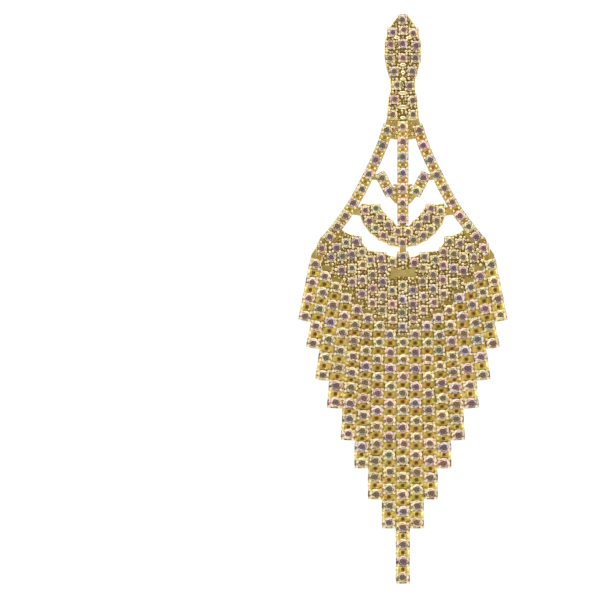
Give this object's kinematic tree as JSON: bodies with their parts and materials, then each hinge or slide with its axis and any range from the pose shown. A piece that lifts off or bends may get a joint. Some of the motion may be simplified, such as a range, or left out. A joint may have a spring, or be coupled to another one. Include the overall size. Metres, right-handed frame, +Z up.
{
  "type": "chandelier earring",
  "caption": "Gold-tone chandelier drop earring with clear cut stones: marquise head, openwork drop with crescent and V yoke, and a stepped cup-chain fringe.",
  "frame": {"origin": "where the ear post leaves the back face of its pad, which is the ear's place behind the head; the earring hangs down from there", "axes": "+Z up as the earring hangs, -Y the front with the stones, +Y back along the ear post, +X to the viewer's right when the front is seen"},
  "size_m": [0.0404, 0.0127, 0.1102],
  "materials": {
    "gold_metal": "polished gold plate",
    "stones_in_gold_cups": "clear cut stones with a faint rainbow coating, in gold plated cups"
  },
  "bodies": {
    "root": {"ear_post": "gold_metal", "backing_frame": "gold_metal", "head_cluster": "stones_in_gold_cups", "left_rail": "stones_in_gold_cups", "right_rail": "stones_in_gold_cups", "centre_stem": "stones_in_gold_cups", "left_leaf": "stones_in_gold_cups", "right_leaf": "stones_in_gold_cups", "crescent": "stones_in_gold_cups", "v_yoke": "stones_in_gold_cups", "strand_01": "stones_in_gold_cups", "strand_02": "stones_in_gold_cups", "strand_03": "stones_in_gold_cups", "strand_04": "stones_in_gold_cups", "strand_05": "stones_in_gold_cups", "strand_06": "stones_in_gold_cups", "strand_07": "stones_in_gold_cups", "strand_08": "stones_in_gold_cups", "strand_09": "stones_in_gold_cups", "strand_10": "stones_in_gold_cups", "strand_11": "stones_in_gold_cups", "strand_12": "stones_in_gold_cups", "strand_13": "stones_in_gold_cups", "strand_14": "stones_in_gold_cups", "strand_15": "stones_in_gold_cups", "strand_16": "stones_in_gold_cups", "strand_17": "stones_in_gold_cups"}
  },
  "joints": []
}
